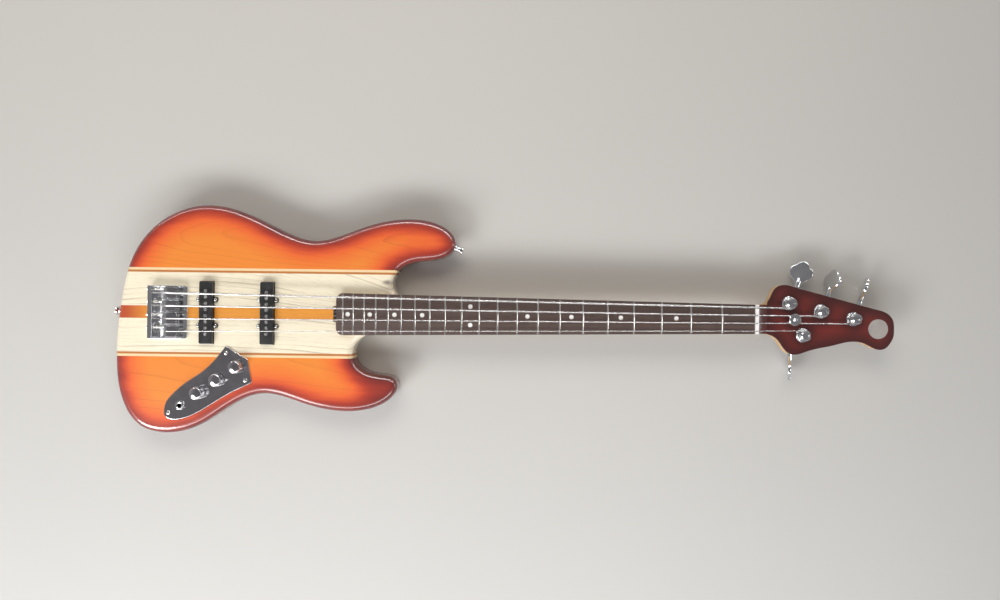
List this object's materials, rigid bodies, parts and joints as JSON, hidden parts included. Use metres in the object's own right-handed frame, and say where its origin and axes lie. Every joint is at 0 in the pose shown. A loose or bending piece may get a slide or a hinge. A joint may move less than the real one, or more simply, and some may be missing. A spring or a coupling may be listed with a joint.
{
  "type": "electric bass guitar",
  "caption": "Solid-body electric bass with laminated sunburst body, bolt-on neck, geared tuners, adjustable bridge saddles, height-adjustable pickups and turning control knobs.",
  "frame": {"origin": "on the back of the body, under the middle of the saddle line", "axes": "+X along the neck towards the headstock, +Y towards the low-string side, +Z out of the front"},
  "size_m": [1.1666, 0.3407, 0.0635],
  "materials": {
    "sunburst_wood": "cherry sunburst under gloss lacquer",
    "maple_strip": "gloss lacquer",
    "stained_strip": "gloss lacquer",
    "ash": "gloss lacquer",
    "orange_wood": "gloss lacquer",
    "neck_maple": "satin lacquer",
    "headstock_wood": "gloss lacquer",
    "inlay": "smooth",
    "rosewood": "oiled",
    "dot_plastic": "polished",
    "fret_wire": "polished",
    "nut_plastic": "smooth",
    "rod_steel": "plain",
    "black_steel": "black",
    "chrome": "bright chrome",
    "string_steel": "wound",
    "screw_steel": "nickel plate",
    "pickup_plastic": "black satin",
    "coil": "wound wire and magnets",
    "foam": "soft foam",
    "lead_skin": "plain"
  },
  "bodies": {
    "bass": {"ash_core": "ash", "bridge_base": "chrome", "bridge_screws": "screw_steel", "centre_strip": "orange_wood", "control_plate": "chrome", "control_plate_screws": "screw_steel", "dark_strips": "stained_strip", "fingerboard": "rosewood", "fret_markers": "dot_plastic", "frets": "fret_wire", "headstock_face": "headstock_wood", "headstock_inlay": "inlay", "light_strips": "maple_strip", "lower_wing": "sunburst_wood", "neck": "neck_maple", "neck_ferrules": "chrome", "neck_screws": "screw_steel", "nut": "nut_plastic", "output_jack": "chrome", "pickup_foam": "foam", "pickup_leads": "lead_skin", "pots": "screw_steel", "saddle_springs": "screw_steel", "strap_buttons": "chrome", "string_a": "string_steel", "string_d": "string_steel", "string_e": "string_steel", "string_g": "string_steel", "string_retainer": "chrome", "truss_rod": "rod_steel", "tuner_bushings": "chrome", "tuner_plates": "chrome", "tuner_screws": "screw_steel", "upper_wing": "sunburst_wood"},
    "key_e": {"tuner_key_e": "chrome"},
    "post_e": {"tuner_post_e": "chrome"},
    "key_a": {"tuner_key_a": "chrome"},
    "post_a": {"tuner_post_a": "chrome"},
    "key_d": {"tuner_key_d": "chrome"},
    "post_d": {"tuner_post_d": "chrome"},
    "key_g": {"tuner_key_g": "chrome"},
    "post_g": {"tuner_post_g": "chrome"},
    "saddle_e": {"saddle_e": "chrome"},
    "intonation_e": {"intonation_screw_e": "screw_steel"},
    "saddle_a": {"saddle_a": "chrome"},
    "intonation_a": {"intonation_screw_a": "screw_steel"},
    "saddle_d": {"saddle_d": "chrome"},
    "intonation_d": {"intonation_screw_d": "screw_steel"},
    "saddle_g": {"saddle_g": "chrome"},
    "intonation_g": {"intonation_screw_g": "screw_steel"},
    "neck_volume": {"neck_volume_knob": "chrome"},
    "bridge_volume": {"bridge_volume_knob": "chrome"},
    "tone": {"tone_knob": "chrome"},
    "bridge_pickup": {"bridge_pickup_cover": "pickup_plastic", "bridge_pickup_coil": "coil", "bridge_pickup_screws": "screw_steel"},
    "neck_pickup": {"neck_pickup_cover": "pickup_plastic", "neck_pickup_coil": "coil", "neck_pickup_screws": "screw_steel"},
    "truss_wheel": {"truss_rod_wheel": "black_steel"}
  },
  "joints": [
    {"name": "key_turn_e", "type": "hinge", "parent": "bass", "child": "key_e", "pos_m": [0.92823, 0.02085, 0.02188], "axis": [0.2924, 0.9563, 0], "continuous": true},
    {"name": "post_turn_e", "type": "hinge", "parent": "bass", "child": "post_e", "pos_m": [0.9172, 0.02423, 0.05], "axis": [0, 0, 1], "continuous": true},
    {"name": "key_turn_a", "type": "hinge", "parent": "bass", "child": "key_a", "pos_m": [0.97557, 0.00935, 0.02188], "axis": [0.2924, 0.9563, 0], "continuous": true},
    {"name": "post_turn_a", "type": "hinge", "parent": "bass", "child": "post_a", "pos_m": [0.96453, 0.01272, 0.05], "axis": [0, 0, 1], "continuous": true},
    {"name": "key_turn_d", "type": "hinge", "parent": "bass", "child": "key_d", "pos_m": [1.02411, -0.00135, 0.02188], "axis": [0.2924, 0.9563, 0], "continuous": true},
    {"name": "post_turn_d", "type": "hinge", "parent": "bass", "child": "post_d", "pos_m": [1.01307, 0.00203, 0.05], "axis": [0, 0, 1], "continuous": true},
    {"name": "key_turn_g", "type": "hinge", "parent": "bass", "child": "key_g", "pos_m": [0.92685, -0.02319, 0.02188], "axis": [0, -1, 0], "continuous": true},
    {"name": "post_turn_g", "type": "hinge", "parent": "bass", "child": "post_g", "pos_m": [0.93839, -0.02319, 0.05], "axis": [0, 0, 1], "continuous": true},
    {"name": "intonation_turn_e", "type": "hinge", "parent": "bass", "child": "intonation_e", "pos_m": [-0.03, 0.034, 0.053], "axis": [1, 0, 0], "range_deg": [-2165, 2165]},
    {"name": "saddle_slide_e", "type": "slide", "parent": "bass", "child": "saddle_e", "axis": [1, 0, 0], "range_m": [-0.003, 0.003], "deforming": ["string_e", "saddle_springs"]},
    {"name": "intonation_turn_a", "type": "hinge", "parent": "bass", "child": "intonation_a", "pos_m": [-0.03, 0.0152, 0.053], "axis": [1, 0, 0], "range_deg": [-2165, 2165]},
    {"name": "saddle_slide_a", "type": "slide", "parent": "bass", "child": "saddle_a", "axis": [1, 0, 0], "range_m": [-0.003, 0.003], "deforming": ["string_a", "saddle_springs"]},
    {"name": "intonation_turn_d", "type": "hinge", "parent": "bass", "child": "intonation_d", "pos_m": [-0.03, -0.0036, 0.053], "axis": [1, 0, 0], "range_deg": [-2165, 2165]},
    {"name": "saddle_slide_d", "type": "slide", "parent": "bass", "child": "saddle_d", "axis": [1, 0, 0], "range_m": [-0.003, 0.003], "deforming": ["string_d", "saddle_springs"]},
    {"name": "intonation_turn_g", "type": "hinge", "parent": "bass", "child": "intonation_g", "pos_m": [-0.03, -0.0224, 0.053], "axis": [1, 0, 0], "range_deg": [-2165, 2165]},
    {"name": "saddle_slide_g", "type": "slide", "parent": "bass", "child": "saddle_g", "axis": [1, 0, 0], "range_m": [-0.003, 0.003], "deforming": ["string_g", "saddle_springs"]},
    {"name": "neck_volume_turn", "type": "hinge", "parent": "bass", "child": "neck_volume", "pos_m": [0.1003, -0.0793, 0.055], "axis": [0, 0, 1], "range_deg": [0, 300]},
    {"name": "bridge_volume_turn", "type": "hinge", "parent": "bass", "child": "bridge_volume", "pos_m": [0.0723, -0.0988, 0.055], "axis": [0, 0, 1], "range_deg": [0, 300]},
    {"name": "tone_turn", "type": "hinge", "parent": "bass", "child": "tone", "pos_m": [0.0443, -0.1183, 0.055], "axis": [0, 0, 1], "range_deg": [0, 300]},
    {"name": "bridge_pickup_height", "type": "slide", "parent": "bass", "child": "bridge_pickup", "axis": [0, 0, 1], "range_m": [-0.002, 0.002], "deforming": ["pickup_foam"]},
    {"name": "neck_pickup_height", "type": "slide", "parent": "bass", "child": "neck_pickup", "axis": [0, 0, 1], "range_m": [-0.002, 0.002], "deforming": ["pickup_foam"]},
    {"name": "truss_wheel_turn", "type": "hinge", "parent": "bass", "child": "truss_wheel", "pos_m": [0.2441, 0, 0.0396], "axis": [1, 0, 0], "range_deg": [-360, 360]}
  ],
  "couplings": [
    {"joint": "post_turn_e", "follows": "key_turn_e", "ratio": -0.05},
    {"joint": "post_turn_a", "follows": "key_turn_a", "ratio": -0.05},
    {"joint": "post_turn_d", "follows": "key_turn_d", "ratio": -0.05},
    {"joint": "post_turn_g", "follows": "key_turn_g", "ratio": -0.05},
    {"joint": "intonation_turn_e", "follows": "saddle_slide_e", "rad_per_m": -12566},
    {"joint": "intonation_turn_a", "follows": "saddle_slide_a", "rad_per_m": -12566},
    {"joint": "intonation_turn_d", "follows": "saddle_slide_d", "rad_per_m": -12566},
    {"joint": "intonation_turn_g", "follows": "saddle_slide_g", "rad_per_m": -12566}
  ]
}
